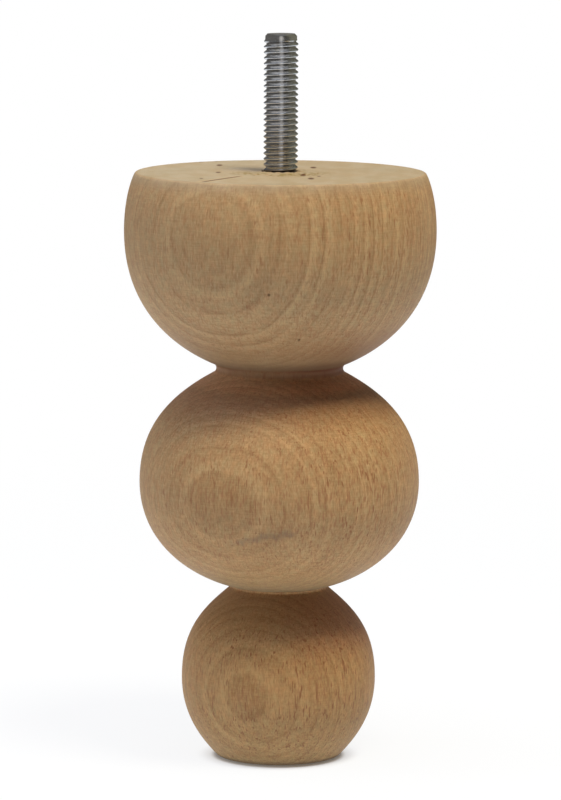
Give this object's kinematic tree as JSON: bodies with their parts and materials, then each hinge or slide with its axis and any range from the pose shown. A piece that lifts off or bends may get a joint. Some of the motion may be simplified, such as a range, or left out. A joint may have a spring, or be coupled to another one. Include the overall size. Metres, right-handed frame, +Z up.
{
  "type": "furniture leg",
  "caption": "Turned wooden furniture leg: a flat-topped bowl over stacked balls with narrow necks, and a steel threaded stud in its top that screws it under a sofa or cabinet.",
  "frame": {"origin": "middle of the base's underside, on the floor that the leg stands on", "axes": "+Z up along the turning axis, towards the stud; X and Y lie in the floor"},
  "size_m": [0.07, 0.07, 0.1632],
  "materials": {
    "beech": "bare, sanded smooth",
    "zinc_plated_steel": "bright zinc plating"
  },
  "bodies": {
    "root": {"turned_leg": "beech", "hanger_bolt": "zinc_plated_steel"}
  },
  "joints": []
}
